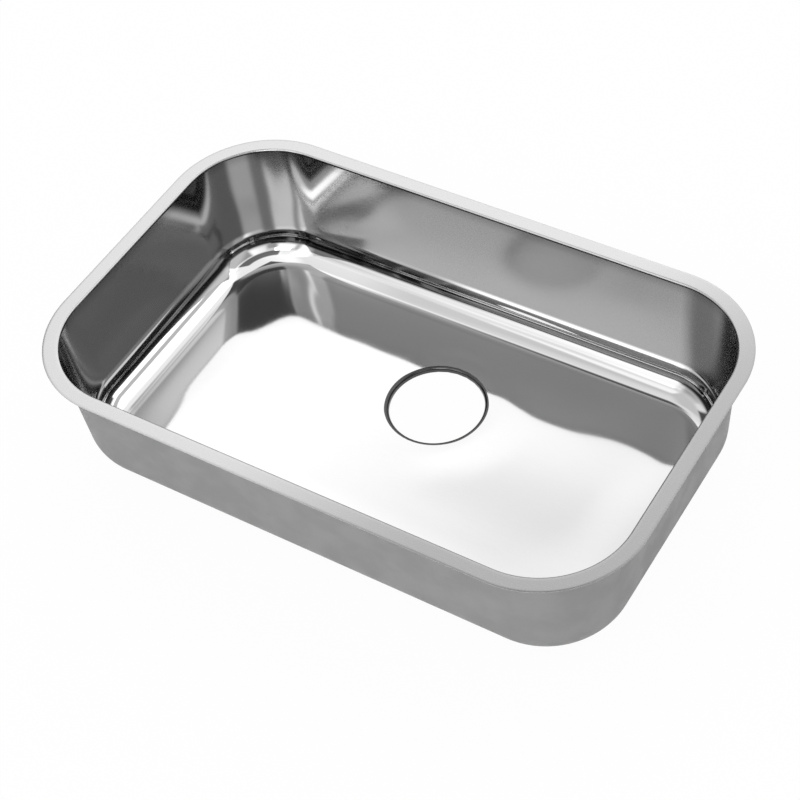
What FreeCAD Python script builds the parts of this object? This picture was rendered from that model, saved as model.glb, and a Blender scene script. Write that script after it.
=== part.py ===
import FreeCAD, Part

import math
import os

import Sketcher

# A single-bowl undermount kitchen sink, pressed from one stainless sheet.
#
# The frame: the origin is the centre of the flange's top face, the plane that is
# clamped against the underside of the worktop. +Z is up, +X runs along the bowl
# and +Y points to the back wall, the side that the drain hole lies nearer to.
#
# Every skin of the sink is the same basin form at another offset from the wetted
# surface: 0 is the cavity, one sheet thickness is the outside of the steel, then
# come the outside of the sprayed coat and the outside of the sound pads. Each
# piece is what lies between two of these forms.

SIZES = {
    # flange and mouth
    "sink_length": 590.0,
    "sink_width": 370.0,
    "flange_corner_radius": 96.0,
    "flange_flat": 12.5,
    "flange_edge_break": 0.2,
    "mouth_roll": 2.5,
    "sheet_thickness": 0.8,
    # walls and floor
    "wall_draft": 3.9,
    "floor_depth": 126.5,
    "floor_fillet": 31.0,
    "floor_fall": 2.5,
    "fall_margin": 4.0,
    # drain hole and its rolled-down lip
    "drain_radius": 45.0,
    "drain_shift_right": 8.0,
    "drain_shift_back": 44.5,
    "drain_roll": 3.0,
    "drain_lip_drop": 5.0,
    "drain_seat_flat": 4.0,
    "drain_seat_side": 4.0,
    # sprayed undercoat
    "coat_thickness": 1.2,
    "coat_start": 8.0,
    "coat_ring_radius": 60.0,
    # rubber sound pads under the floor
    "pad_thickness": 3.0,
    "pad_margin": 12.0,
    "pad_drain_gap": 24.0,
    "pad_spacing": 10.0,
    "pad_corner_radius": 16.0,
    # how far the cutting forms run past what they cut
    "cut_past": 5.0,
}

NO_OFFSET = "0"
STEEL_OFFSET = "sizes.sheet_thickness"
COAT_OFFSET = "(sizes.sheet_thickness + sizes.coat_thickness)"
PAD_OFFSET = "(sizes.sheet_thickness + sizes.coat_thickness + sizes.pad_thickness)"

# the line where the straight wall would meet the top plane
MOUTH_HALF_LENGTH = "(sizes.sink_length / 2 - sizes.flange_flat - sizes.mouth_roll)"
MOUTH_HALF_WIDTH = "(sizes.sink_width / 2 - sizes.flange_flat - sizes.mouth_roll)"
MOUTH_RADIUS = "(sizes.flange_corner_radius - sizes.flange_flat - sizes.mouth_roll)"

# from that line to where the floor fillet runs out, the same at every offset
FLOOR_INSET = ("((sizes.floor_fillet + (sizes.floor_depth - sizes.floor_fillet)"
               " * sin(sizes.wall_draft)) / cos(sizes.wall_draft))")
FALL_INSET = f"({FLOOR_INSET} + sizes.fall_margin)"
PAD_INSET = f"({FLOOR_INSET} + sizes.pad_margin)"

SEAT_DEPTH = "(sizes.floor_depth + sizes.floor_fall)"
SEAT_RADIUS = "(sizes.drain_radius + sizes.drain_roll + sizes.drain_seat_flat)"
SEAT_HALF = f"({SEAT_RADIUS} + sizes.drain_seat_side / 2)"
LIP_DEPTH = f"({SEAT_DEPTH} + sizes.drain_lip_drop)"

TOLERANCE = 1e-4


def make_sheet(doc):
    """The spreadsheet of driving dimensions, one row for each."""
    sheet = doc.addObject("Spreadsheet::Sheet", "sizes")
    for row, (name, value) in enumerate(SIZES.items(), start=1):
        sheet.set(f"A{row}", name)
        sheet.set(f"B{row}", str(value))
        sheet.setAlias(f"B{row}", name)
    doc.recompute()
    return sheet


def value_of(body, expression):
    """The number that an expression of the sheet's sizes gives."""
    return float(body.evalExpression(expression))


def new_body(doc, name):
    return doc.addObject("PartDesign::Body", name)


def flat_sketch(body, name, height):
    """A sketch parallel to the body's XY plane, at a height given as an expression."""
    plane = next(item for item in body.Origin.OriginFeatures if item.Role == "XY_Plane")
    sketch = body.newObject("Sketcher::SketchObject", name)
    sketch.AttachmentSupport = [(plane, "")]
    sketch.MapMode = "FlatFace"
    sketch.setExpression("AttachmentOffset.Base.z", height)
    return sketch


def hold(sketch, name, rule, expression):
    """Adds a dimension to a sketch and ties it to an expression."""
    number = sketch.addConstraint(rule)
    sketch.renameConstraint(number, name)
    sketch.setExpression(f"Constraints.{name}", expression)


def draw_rounded_rectangle(body, sketch, left, right, front, back, radius):
    """Four sides and four tangent corner arcs, each side held at its distance
    from the sketch's origin. The five sizes are expressions."""
    x_low, x_high, y_low, y_high, corner = (
        value_of(body, text) for text in (left, right, front, back, radius))
    sides = []
    corners = []
    turns = ((x_high, y_high, -1, -1, 0), (x_low, y_high, 1, -1, 90),
             (x_low, y_low, 1, 1, 180), (x_high, y_low, -1, 1, 270))
    points = []
    for x, y, to_x, to_y, angle in turns:
        centre = FreeCAD.Vector(x + to_x * corner, y + to_y * corner, 0)
        circle = Part.Circle(centre, FreeCAD.Vector(0, 0, 1), corner)
        arc = Part.ArcOfCircle(circle, math.radians(angle), math.radians(angle + 90))
        corners.append(sketch.addGeometry(arc))
        points.append((arc.StartPoint, arc.EndPoint))
    for index in range(4):
        line = Part.LineSegment(points[index][1], points[(index + 1) % 4][0])
        sides.append(sketch.addGeometry(line))

    constraint = Sketcher.Constraint
    for index in range(4):
        after = (index + 1) % 4
        sketch.addConstraint(constraint("Tangent", corners[index], 2, sides[index], 1))
        sketch.addConstraint(constraint("Tangent", sides[index], 2, corners[after], 1))
        direction = "Horizontal" if index % 2 == 0 else "Vertical"
        sketch.addConstraint(constraint(direction, sides[index]))
    for index in range(1, 4):
        sketch.addConstraint(constraint("Equal", corners[0], corners[index]))

    hold(sketch, "radius", constraint("Radius", corners[0], corner), radius)
    hold(sketch, "back", constraint("DistanceY", -1, 1, sides[0], 1, y_high), back)
    hold(sketch, "left", constraint("DistanceX", -1, 1, sides[1], 1, x_low), left)
    hold(sketch, "front", constraint("DistanceY", -1, 1, sides[2], 1, y_low), front)
    hold(sketch, "right", constraint("DistanceX", -1, 1, sides[3], 1, x_high), right)


def draw_mouth_outline(body, sketch, outward):
    """The mouth's rounded rectangle, moved outward by an expression."""
    half_length = f"({MOUTH_HALF_LENGTH} + {outward})"
    half_width = f"({MOUTH_HALF_WIDTH} + {outward})"
    radius = f"({MOUTH_RADIUS} + {outward})"
    draw_rounded_rectangle(body, sketch, f"-{half_length}", half_length,
                           f"-{half_width}", half_width, radius)


def draw_drain_circle(body, sketch, radius):
    """A circle round the drain hole's axis."""
    centre = FreeCAD.Vector(value_of(body, "sizes.drain_shift_right"),
                            value_of(body, "sizes.drain_shift_back"), 0)
    size = value_of(body, radius)
    circle = sketch.addGeometry(Part.Circle(centre, FreeCAD.Vector(0, 0, 1), size))
    constraint = Sketcher.Constraint
    hold(sketch, "drain_radius", constraint("Radius", circle, size), radius)
    hold(sketch, "drain_right", constraint("DistanceX", -1, 1, circle, 3, centre.x),
         "sizes.drain_shift_right")
    hold(sketch, "drain_back", constraint("DistanceY", -1, 1, circle, 3, centre.y),
         "sizes.drain_shift_back")


def add_pad(body, name, sketch, length, downward=True, draft=None):
    """Material from a sketch, down or up by an expression."""
    pad = body.newObject("PartDesign::Pad", name)
    pad.Profile = sketch
    pad.Reversed = downward
    pad.setExpression("Length", length)
    if draft:
        pad.setExpression("TaperAngle", draft)
    body.Document.recompute()
    return pad


def level_edges(shape, height, reach_x=None, reach_y=None):
    """Names of the level edges at a height, all of them or those within a reach."""
    names = []
    for number, edge in enumerate(shape.Edges, start=1):
        box = edge.BoundBox
        level = abs(box.ZMin - height) < TOLERANCE and abs(box.ZMax - height) < TOLERANCE
        outside_x = reach_x and max(-box.XMin, box.XMax) > reach_x
        outside_y = reach_y and max(-box.YMin, box.YMax) > reach_y
        if level and not outside_x and not outside_y:
            names.append(f"Edge{number}")
    return names


def add_fillet(body, name, base, edges, radius):
    fillet = body.newObject("PartDesign::Fillet", name)
    fillet.Base = (base, edges)
    fillet.setExpression("Radius", radius)
    body.Document.recompute()
    return fillet


def basin_form(body, offset):
    """The basin at an offset: drafted walls, the floor's fillet, and a shallow fall
    from the floor's edge to a level seat round the drain hole."""
    top = flat_sketch(body, f"{body.Name}_mouth", NO_OFFSET)
    draw_mouth_outline(body, top, f"{offset} / cos(sizes.wall_draft)")
    floor = f"(sizes.floor_depth + {offset})"
    walls = add_pad(body, f"{body.Name}_walls", top, floor, draft="-sizes.wall_draft")

    edges = level_edges(walls.Shape, -value_of(body, floor))
    add_fillet(body, f"{body.Name}_floor_fillet", walls, edges,
               f"sizes.floor_fillet + {offset}")

    edge = flat_sketch(body, f"{body.Name}_fall_edge", f"-{floor}")
    draw_mouth_outline(body, edge, f"-{FALL_INSET}")
    seat = flat_sketch(body, f"{body.Name}_seat", f"-({SEAT_DEPTH} + {offset})")
    draw_rounded_rectangle(body, seat,
                           f"sizes.drain_shift_right - {SEAT_HALF}",
                           f"sizes.drain_shift_right + {SEAT_HALF}",
                           f"sizes.drain_shift_back - {SEAT_HALF}",
                           f"sizes.drain_shift_back + {SEAT_HALF}", SEAT_RADIUS)
    fall = body.newObject("PartDesign::AdditiveLoft", f"{body.Name}_fall")
    fall.Profile = edge
    fall.Sections = [seat]
    fall.Ruled = True
    body.Document.recompute()
    return fall


def add_throat(body, offset, depth):
    """The drain's throat, from the seat down to a depth, rolled into the seat."""
    seat_depth = f"({SEAT_DEPTH} + {offset})"
    circle = flat_sketch(body, f"{body.Name}_throat_circle", f"-{seat_depth}")
    draw_drain_circle(body, circle, f"sizes.drain_radius + {offset}")
    throat = add_pad(body, f"{body.Name}_throat", circle, f"{depth} - {seat_depth}")
    shift = value_of(body, "sizes.drain_shift_back")
    radius = value_of(body, f"sizes.drain_radius + {offset}")
    level = level_edges(throat.Shape, -value_of(body, seat_depth),
                        reach_y=shift + radius + TOLERANCE)
    rim = [name for name in level
           if abs(throat.Shape.getElement(name).Length - 2 * math.pi * radius) < TOLERANCE]
    return add_fillet(body, f"{body.Name}_throat_roll", throat, rim,
                      f"sizes.drain_roll - {offset}")


def add_mouth_roll(body, plate, height, offset):
    """The roll between the level plate and the walls."""
    reach_x = value_of(body, f"sizes.sink_length / 2 - sizes.flange_flat")
    reach_y = value_of(body, f"sizes.sink_width / 2 - sizes.flange_flat")
    rim = level_edges(plate.Shape, value_of(body, height), reach_x, reach_y)
    return add_fillet(body, f"{body.Name}_mouth_roll", plate, rim,
                      f"sizes.mouth_roll - {offset}")


def make_steel_form(doc):
    """The outside of the pressed sheet: flange, basin and drain lip, still solid."""
    body = new_body(doc, "steel_form")
    basin_form(body, STEEL_OFFSET)
    add_throat(body, STEEL_OFFSET, LIP_DEPTH)
    outline = flat_sketch(body, "flange_outline", NO_OFFSET)
    draw_mouth_outline(body, outline, "sizes.flange_flat + sizes.mouth_roll")
    flange = add_pad(body, "flange", outline, STEEL_OFFSET)
    rolled = add_mouth_roll(body, flange, f"-{STEEL_OFFSET}", STEEL_OFFSET)

    half_length = value_of(body, "sizes.sink_length / 2")
    top_edges = level_edges(rolled.Shape, 0.0)
    under_edges = level_edges(rolled.Shape, -value_of(body, STEEL_OFFSET))
    inner = level_edges(rolled.Shape, -value_of(body, STEEL_OFFSET),
                        half_length - value_of(body, "sizes.flange_edge_break"),
                        value_of(body, "sizes.sink_width / 2 - sizes.flange_edge_break"))
    outer = top_edges + [name for name in under_edges if name not in inner]
    add_fillet(body, "flange_edge", rolled, outer, "sizes.flange_edge_break")
    return body


def make_cavity_form(doc):
    """What the water sees: the bowl's inside, run on above the mouth and below the lip."""
    body = new_body(doc, "cavity_form")
    basin_form(body, NO_OFFSET)
    add_throat(body, NO_OFFSET, f"({LIP_DEPTH} + sizes.cut_past)")
    outline = flat_sketch(body, "clearance_outline", NO_OFFSET)
    draw_mouth_outline(body, outline, "sizes.mouth_roll + sizes.flange_flat / 2")
    plate = add_pad(body, "clearance", outline, "sizes.cut_past", downward=False)
    add_mouth_roll(body, plate, NO_OFFSET, NO_OFFSET)
    return body


def make_basin_body(doc, name, offset):
    body = new_body(doc, name)
    basin_form(body, offset)
    return body


def make_coat_zone(doc):
    """Where the coat is sprayed: from its masked edge under the flange downwards,
    except on the ring round the drain where the strainer's nut clamps bare steel."""
    body = new_body(doc, "coat_zone")
    sketch = flat_sketch(body, "coat_outline", "-sizes.coat_start")
    draw_mouth_outline(body, sketch, "sizes.flange_flat")
    draw_drain_circle(body, sketch, "sizes.coat_ring_radius")
    add_pad(body, "coat_depth", sketch, f"{LIP_DEPTH}")
    return body


def make_pad_zone(doc, name, left, right, front, back):
    """The outline of one sound pad, run from above the floor to below it."""
    body = new_body(doc, name)
    sketch = flat_sketch(body, f"{name}_outline", "-(sizes.floor_depth - sizes.cut_past)")
    draw_rounded_rectangle(body, sketch, left, right, front, back, "sizes.pad_corner_radius")
    add_pad(body, f"{name}_depth", sketch, f"sizes.floor_fall + {PAD_OFFSET} + 2 * sizes.cut_past")
    return body


def boolean(doc, kind, name, base, tool):
    """A Part boolean of two objects: Cut or Common."""
    result = doc.addObject(f"Part::{kind}", name)
    result.Base = base
    result.Tool = tool
    return result


def make_pads(doc, pad_form, coat_form):
    """Three glued pads: one each side of the drain, and one in front of it."""
    half_length = f"({MOUTH_HALF_LENGTH} - {PAD_INSET})"
    half_width = f"({MOUTH_HALF_WIDTH} - {PAD_INSET})"
    clear = "(sizes.drain_radius + sizes.pad_drain_gap)"
    left_end = f"(sizes.drain_shift_right - {clear})"
    right_end = f"(sizes.drain_shift_right + {clear})"
    front_end = f"(sizes.drain_shift_back - {clear})"
    outlines = {
        "floor_pad_left": (f"-{half_length}", left_end, f"-{half_width}", half_width),
        "floor_pad_right": (right_end, half_length, f"-{half_width}", half_width),
        "floor_pad_front": (f"{left_end} + sizes.pad_spacing", f"{right_end} - sizes.pad_spacing",
                            f"-{half_width}", front_end),
    }
    pads = []
    for name, edges in outlines.items():
        zone = make_pad_zone(doc, f"{name}_zone", *edges)
        slab = boolean(doc, "Common", f"{name}_slab", pad_form, zone)
        pads.append(boolean(doc, "Cut", name, slab, coat_form))
    return pads


def check(doc):
    """Stop if any object of the document failed."""
    for item in doc.Objects:
        if "Invalid" in item.State or "Error" in item.State:
            raise RuntimeError(f"{item.Name} failed: {item.State}")


def export(pieces):
    """One STEP file for each piece, named by its label."""
    os.makedirs("parts", exist_ok=True)
    for piece in pieces:
        shape = piece.Shape
        if shape.isNull() or not shape.isValid() or len(shape.Solids) != 1:
            raise RuntimeError(f"{piece.Label} is not one valid solid")
    for piece in pieces:
        piece.Shape.exportStep(f"parts/{piece.Label}.step")
        box = piece.Shape.BoundBox
        print(f"{piece.Label}: {piece.Shape.Volume:.0f} mm3, {box.XLength:.1f} x "
              f"{box.YLength:.1f} x {box.ZLength:.1f} mm, low {box.ZMin:.2f}")


def main():
    doc = FreeCAD.newDocument("undermount_sink")
    make_sheet(doc)
    steel_form = make_steel_form(doc)
    cavity_form = make_cavity_form(doc)
    coat_form = make_basin_body(doc, "coat_form", COAT_OFFSET)
    pad_form = make_basin_body(doc, "pad_form", PAD_OFFSET)

    bowl = boolean(doc, "Cut", "bowl", steel_form, cavity_form)
    coat = boolean(doc, "Common", "coat_block", coat_form, make_coat_zone(doc))
    undercoat = boolean(doc, "Cut", "undercoat", coat, steel_form)
    pads = make_pads(doc, pad_form, coat_form)
    doc.recompute()
    check(doc)
    export([bowl, undercoat, *pads])


main()
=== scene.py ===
"""The looks of a pressed undermount kitchen sink: polished bowl, sprayed coat and sound pads.

The bowl is one sheet, so it is drawn as one closed profile carried round a rounded
rectangle. Lengths of the form are millimetres, as a press shop writes them, and METRE turns
them into scene units. Finishes, studio and camera use metres. Each surface is a whole numpy
array of points.
"""

import logging
import math
from dataclasses import dataclass, field
from enum import Enum

import bmesh
import bpy
import numpy as np
from mathutils import Matrix, Vector


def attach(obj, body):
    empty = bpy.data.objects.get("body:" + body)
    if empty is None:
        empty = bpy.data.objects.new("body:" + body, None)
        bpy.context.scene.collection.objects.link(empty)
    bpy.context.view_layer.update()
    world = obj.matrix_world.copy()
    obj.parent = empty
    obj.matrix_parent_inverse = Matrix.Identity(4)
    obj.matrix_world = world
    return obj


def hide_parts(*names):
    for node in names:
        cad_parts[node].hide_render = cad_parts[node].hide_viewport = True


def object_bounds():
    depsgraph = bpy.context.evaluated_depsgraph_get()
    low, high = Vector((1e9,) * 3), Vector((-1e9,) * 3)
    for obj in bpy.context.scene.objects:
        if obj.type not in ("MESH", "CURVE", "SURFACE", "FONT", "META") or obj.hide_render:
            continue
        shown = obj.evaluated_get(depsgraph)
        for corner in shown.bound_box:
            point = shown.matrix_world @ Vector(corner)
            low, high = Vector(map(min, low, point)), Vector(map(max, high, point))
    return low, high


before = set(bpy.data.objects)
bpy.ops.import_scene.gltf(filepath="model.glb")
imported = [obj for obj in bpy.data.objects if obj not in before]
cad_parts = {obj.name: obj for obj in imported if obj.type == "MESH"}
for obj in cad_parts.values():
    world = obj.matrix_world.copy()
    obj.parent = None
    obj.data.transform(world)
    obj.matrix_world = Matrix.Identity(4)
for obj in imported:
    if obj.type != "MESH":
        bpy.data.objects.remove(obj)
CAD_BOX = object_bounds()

METRE = 0.001
BODY = "root"
SHARP_ANGLE = math.radians(38.0)
HALVINGS = 16
Span = tuple[float, float]
Triple = tuple[float, float, float]
Socket = bpy.types.NodeSocket
log = logging.getLogger("sink")


class Skin(Enum):
    """The four finishes that one sheet of steel carries, with their numbers in its mesh."""

    MIRROR = 0
    SATIN = 1
    DRAWN = 2
    LIP = 3


# ---------------------------------------------------------------- meshes from arrays


def ease(count: int) -> np.ndarray:
    """Steps from 0 to 1 that crowd at both ends: half of one minus the cosine.

    Args:
        count: number of intervals.

    Returns:
        count + 1 values from 0 to 1.
    """
    return 0.5 * (1.0 - np.cos(np.pi * np.linspace(0.0, 1.0, count + 1)))


def smooth(share: np.ndarray) -> np.ndarray:
    """Eases a share from 0 to 1: its square times three minus twice itself."""
    return share * share * (3.0 - 2.0 * share)


def arc(centre: Span, radius: float, start: float, end: float, count: int) -> np.ndarray:
    """A circular arc in the profile's plane: centre plus radius times (cosine, sine).

    Args:
        centre: inset and height of the arc's centre.
        radius: its radius.
        start: first angle in radians.
        end: last angle in radians.
        count: number of intervals.

    Returns:
        (count + 1, 2) insets and heights.
    """
    angle = np.linspace(start, end, count + 1)
    return np.stack([centre[0] + radius * np.cos(angle),
                     centre[1] + radius * np.sin(angle)], axis=1)


def mesh_of_grid(name: str, grid: np.ndarray) -> bpy.types.Mesh:
    """A closed mesh of quads over a grid that runs round in both directions.

    Args:
        name: the mesh's name.
        grid: (rows, columns, 3) points in millimetres.

    Returns:
        The mesh, smooth shaded, in metres, with its true corners kept sharp.
    """
    rows, columns = grid.shape[:2]
    row, column = np.meshgrid(np.arange(rows), np.arange(columns), indexing="ij")
    below, beside = (row + 1) % rows, (column + 1) % columns
    quads = np.stack([row * columns + column, row * columns + beside,
                      below * columns + beside, below * columns + column], axis=-1)
    count = rows * columns

    mesh = bpy.data.meshes.new(name)
    mesh.vertices.add(count)
    mesh.vertices.foreach_set("co", (grid * METRE).astype(np.float32).ravel())
    mesh.loops.add(4 * count)
    mesh.loops.foreach_set("vertex_index", quads.astype(np.int32).ravel())
    mesh.polygons.add(count)
    mesh.polygons.foreach_set("loop_start", np.arange(0, 4 * count, 4, dtype=np.int32))
    mesh.polygons.foreach_set("use_smooth", np.ones(count, dtype=bool))
    mesh.update(calc_edges=True)
    mesh.set_sharp_from_angle(angle=SHARP_ANGLE)
    return mesh


def piece_of(mesh: bpy.types.Mesh, name: str, node: str,
             finishes: list[bpy.types.Material]) -> bpy.types.Object:
    """An object for a finished mesh, which stands for one node of the CAD model.

    Args:
        mesh: the mesh, in place.
        name: the piece's name.
        node: the CAD node that it stands for.
        finishes: its materials, in the order of the mesh's material numbers.

    Returns:
        The piece, riding on the sink's one body.
    """
    piece = bpy.data.objects.new(name, mesh)
    bpy.context.scene.collection.objects.link(piece)
    for finish in finishes:
        mesh.materials.append(finish)
    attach(piece, BODY)
    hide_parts(node)
    return piece


# ---------------------------------------------------------------- shader nodes


class Graph:
    """A node tree with short ways to add nodes and to feed their sockets."""

    def __init__(self, tree: bpy.types.NodeTree) -> None:
        """Keeps the tree and empties it."""
        self.tree = tree
        self.tree.nodes.clear()

    def feed(self, socket: Socket, value: object) -> None:
        """Links another node's output into a socket, or writes a constant there.

        Args:
            socket: the input that is fed.
            value: the output or the constant.
        """
        if isinstance(value, bpy.types.NodeSocket):
            self.tree.links.new(value, socket)
        else:
            socket.default_value = value

    def add(self, kind: str, inputs: dict[str | int, object] | None = None,
            **settings: object) -> bpy.types.Node:
        """Adds a node.

        Args:
            kind: the node's type.
            inputs: what feeds each of its sockets, by name or number.
            settings: its other properties.

        Returns:
            The node.
        """
        node = self.tree.nodes.new(kind)
        for name, value in settings.items():
            setattr(node, name, value)
        for name, value in (inputs or {}).items():
            self.feed(node.inputs[name], value)
        return node

    def math(self, operation: str, *values: object) -> Socket:
        """One step of arithmetic on numbers or sockets."""
        node = self.add("ShaderNodeMath", dict(enumerate(values)), operation=operation)
        return node.outputs[0]

    def ramp(self, value: object, span: Span, low: object = 0.0, high: object = 1.0) -> Socket:
        """An eased change along a value, level before and after its span.

        Args:
            value: what the change follows.
            span: where it starts and where it is complete.
            low: the result before the span.
            high: the result after it.

        Returns:
            The eased result.
        """
        node = self.add("ShaderNodeMapRange",
                        {"Value": value, "From Min": span[0], "From Max": span[1],
                         "To Min": low, "To Max": high},
                        interpolation_type="SMOOTHSTEP")
        return node.outputs["Result"]

    def blend(self, share: object, first: object, second: object) -> Socket:
        """A colour between two others."""
        node = self.add("ShaderNodeMix", {0: share, 6: first, 7: second}, data_type="RGBA")
        return node.outputs[2]

    def scaled(self, colour: object, factor: object) -> Socket:
        """A colour times a factor."""
        node = self.add("ShaderNodeVectorMath", {0: colour, "Scale": factor}, operation="SCALE")
        return node.outputs[0]

    def noise(self, where: object, scale: object, detail: float = 2.0,
              roughness: float = 0.5) -> Socket:
        """Smooth noise from 0 to 1.

        Args:
            where: the place.
            scale: waves for each unit of the place.
            detail: how many finer noises are added.
            roughness: how strong each finer noise is against the last.

        Returns:
            The noise.
        """
        node = self.add("ShaderNodeTexNoise",
                        {"Vector": where, "Scale": scale, "Detail": detail,
                         "Roughness": roughness})
        return node.outputs["Fac"]

    def relief(self, height: object, depth: float, under: Socket | None = None) -> Socket:
        """The normal of a fine relief.

        Args:
            height: the relief's height.
            depth: metres that a height of 1 stands for.
            under: the normal of a coarser relief that carries this one.

        Returns:
            The normal.
        """
        inputs = {"Height": height, "Strength": 1.0, "Distance": depth}
        if under is not None:
            inputs["Normal"] = under
        return self.add("ShaderNodeBump", inputs).outputs["Normal"]

    def place(self) -> Socket:
        """The point on the piece, in metres."""
        return self.add("ShaderNodeTexCoord").outputs["Object"]

    def stretched(self, where: object, scale: Triple) -> Socket:
        """A place whose three directions are scaled apart."""
        return self.add("ShaderNodeMapping", {"Vector": where, "Scale": scale}).outputs["Vector"]

    def axes(self, where: object) -> tuple[Socket, Socket, Socket]:
        """The parts of a place or a direction along X, Y and Z."""
        return tuple(self.add("ShaderNodeSeparateXYZ", {"Vector": where}).outputs)

    def effect(self, tree: bpy.types.NodeTree,
               inputs: dict[str, object]) -> bpy.types.bpy_prop_collection:
        """Places a shared effect with its own inputs and gives its outputs."""
        return self.add("ShaderNodeGroup", inputs, node_tree=tree).outputs


class Effect:
    """A node group that more than one finish uses, built once and kept by name."""

    def __init__(self, name: str, inputs: dict[str, str], outputs: dict[str, str]) -> None:
        """Makes the group with its named sockets, unless it is there already.

        Args:
            name: the group's name.
            inputs: socket type for each input.
            outputs: socket type for each output.
        """
        self.fresh = name not in bpy.data.node_groups
        if not self.fresh:
            self.tree = bpy.data.node_groups[name]
            return
        self.tree = bpy.data.node_groups.new(name, "ShaderNodeTree")
        self.graph = Graph(self.tree)
        for direction, sockets in (("INPUT", inputs), ("OUTPUT", outputs)):
            for label, kind in sockets.items():
                self.tree.interface.new_socket(label, in_out=direction, socket_type=kind)
        self.given = self.graph.add("NodeGroupInput").outputs
        self.result = self.graph.add("NodeGroupOutput").inputs


def ripple_effect(shorter: float = 2.6, share: float = 0.22) -> bpy.types.NodeTree:
    """Long shallow waves that pressing leaves in a sheet: two noises of unlike length.

    Args:
        shorter: how many times shorter the waves of the second noise are.
        share: height of the second noise for each unit of the first.

    Returns:
        The group, which gives the height.
    """
    effect = Effect("sheet_ripple", {"Place": "NodeSocketVector", "Length": "NodeSocketFloat"},
                    {"Height": "NodeSocketFloat"})
    if effect.fresh:
        graph, given = effect.graph, effect.given
        scale = graph.math("DIVIDE", 1.0, given["Length"])
        long_wave = graph.noise(given["Place"], scale, detail=0.0)
        short_wave = graph.noise(given["Place"], graph.math("MULTIPLY", scale, shorter), detail=0.0)
        height = graph.math("MULTIPLY_ADD", short_wave, share, long_wave)
        graph.feed(effect.result["Height"], height)
    return effect.tree


def line_effect(sparse: float = 0.31, deep: Span = (0.62, 0.78),
                depth: float = 0.5) -> bpy.types.NodeTree:
    """Fine tool lines: noise on a place drawn out along one direction, and a few deeper lines.

    Args:
        sparse: waves of the noise that picks the deeper lines, for one wave of the fine noise.
        deep: where in that noise a line turns deep.
        depth: how far down the deeper lines reach.

    Returns:
        The group, which gives the height and a shade that varies about 1.
    """
    effect = Effect("polishing_lines",
                    {"Place": "NodeSocketVector", "Amount": "NodeSocketFloat"},
                    {"Height": "NodeSocketFloat", "Shade": "NodeSocketFloat"})
    if effect.fresh:
        graph, given = effect.graph, effect.given
        fine = graph.noise(given["Place"], 1.0, detail=3.0, roughness=0.62)
        few = graph.ramp(graph.noise(given["Place"], sparse, detail=1.0), deep)
        height = graph.math("MULTIPLY_ADD", few, -depth, fine)
        centred = graph.math("SUBTRACT", fine, 0.5)
        shade = graph.math("MULTIPLY_ADD", centred, given["Amount"], 1.0)
        graph.feed(effect.result["Height"], height)
        graph.feed(effect.result["Shade"], shade)
    return effect.tree


def speckle_effect(finer: float = 2.3, hollow: float = 0.7,
                   broad: float = 0.035) -> bpy.types.NodeTree:
    """Grain of a sprayed or pressed skin: rounded drops with a finer noise, in broad clouds.

    Args:
        finer: waves of the finer noise for each drop.
        hollow: how far the skin sinks between the drops.
        broad: clouds for each drop.

    Returns:
        The group, which gives the height and the clouds' mask.
    """
    effect = Effect("speckle", {"Place": "NodeSocketVector", "Grain": "NodeSocketFloat"},
                    {"Height": "NodeSocketFloat", "Mask": "NodeSocketFloat"})
    if effect.fresh:
        graph, given = effect.graph, effect.given
        scale = graph.math("DIVIDE", 1.0, given["Grain"])
        drops = graph.add("ShaderNodeTexVoronoi", {"Vector": given["Place"], "Scale": scale},
                          feature="SMOOTH_F1").outputs["Distance"]
        fine = graph.noise(given["Place"], graph.math("MULTIPLY", scale, finer))
        height = graph.math("MULTIPLY_ADD", drops, -hollow, fine)
        clouds = graph.noise(given["Place"], graph.math("MULTIPLY", scale, broad), detail=3.0,
                             roughness=0.6)
        graph.feed(effect.result["Height"], height)
        graph.feed(effect.result["Mask"], clouds)
    return effect.tree


def grey(level: float) -> tuple[float, float, float, float]:
    """A neutral colour of one level."""
    return (level, level, level, 1.0)


# ---------------------------------------------------------------- finishes


class Finish(Graph):
    """The graph of a material, with its Principled shader joined to the output."""

    def __init__(self, name: str) -> None:
        """Makes the material and its shader.

        Args:
            name: the material's name.
        """
        self.material = bpy.data.materials.new(name)
        self.material.use_nodes = True
        super().__init__(self.material.node_tree)
        self.shader = self.add("ShaderNodeBsdfPrincipled")
        self.add("ShaderNodeOutputMaterial", {"Surface": self.shader.outputs["BSDF"]})

    def dress(self, colour: Socket, roughness: Socket, normal: Socket,
              metallic: float = 0.0) -> bpy.types.Material:
        """Feeds the shader.

        Args:
            colour: the base colour.
            roughness: the roughness.
            normal: the normal of the finest relief.
            metallic: 1 for bare metal.

        Returns:
            The finished material.
        """
        inputs = self.shader.inputs
        self.feed(inputs["Base Color"], colour)
        self.feed(inputs["Roughness"], roughness)
        self.feed(inputs["Normal"], normal)
        self.feed(inputs["Metallic"], metallic)
        return self.material


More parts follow.
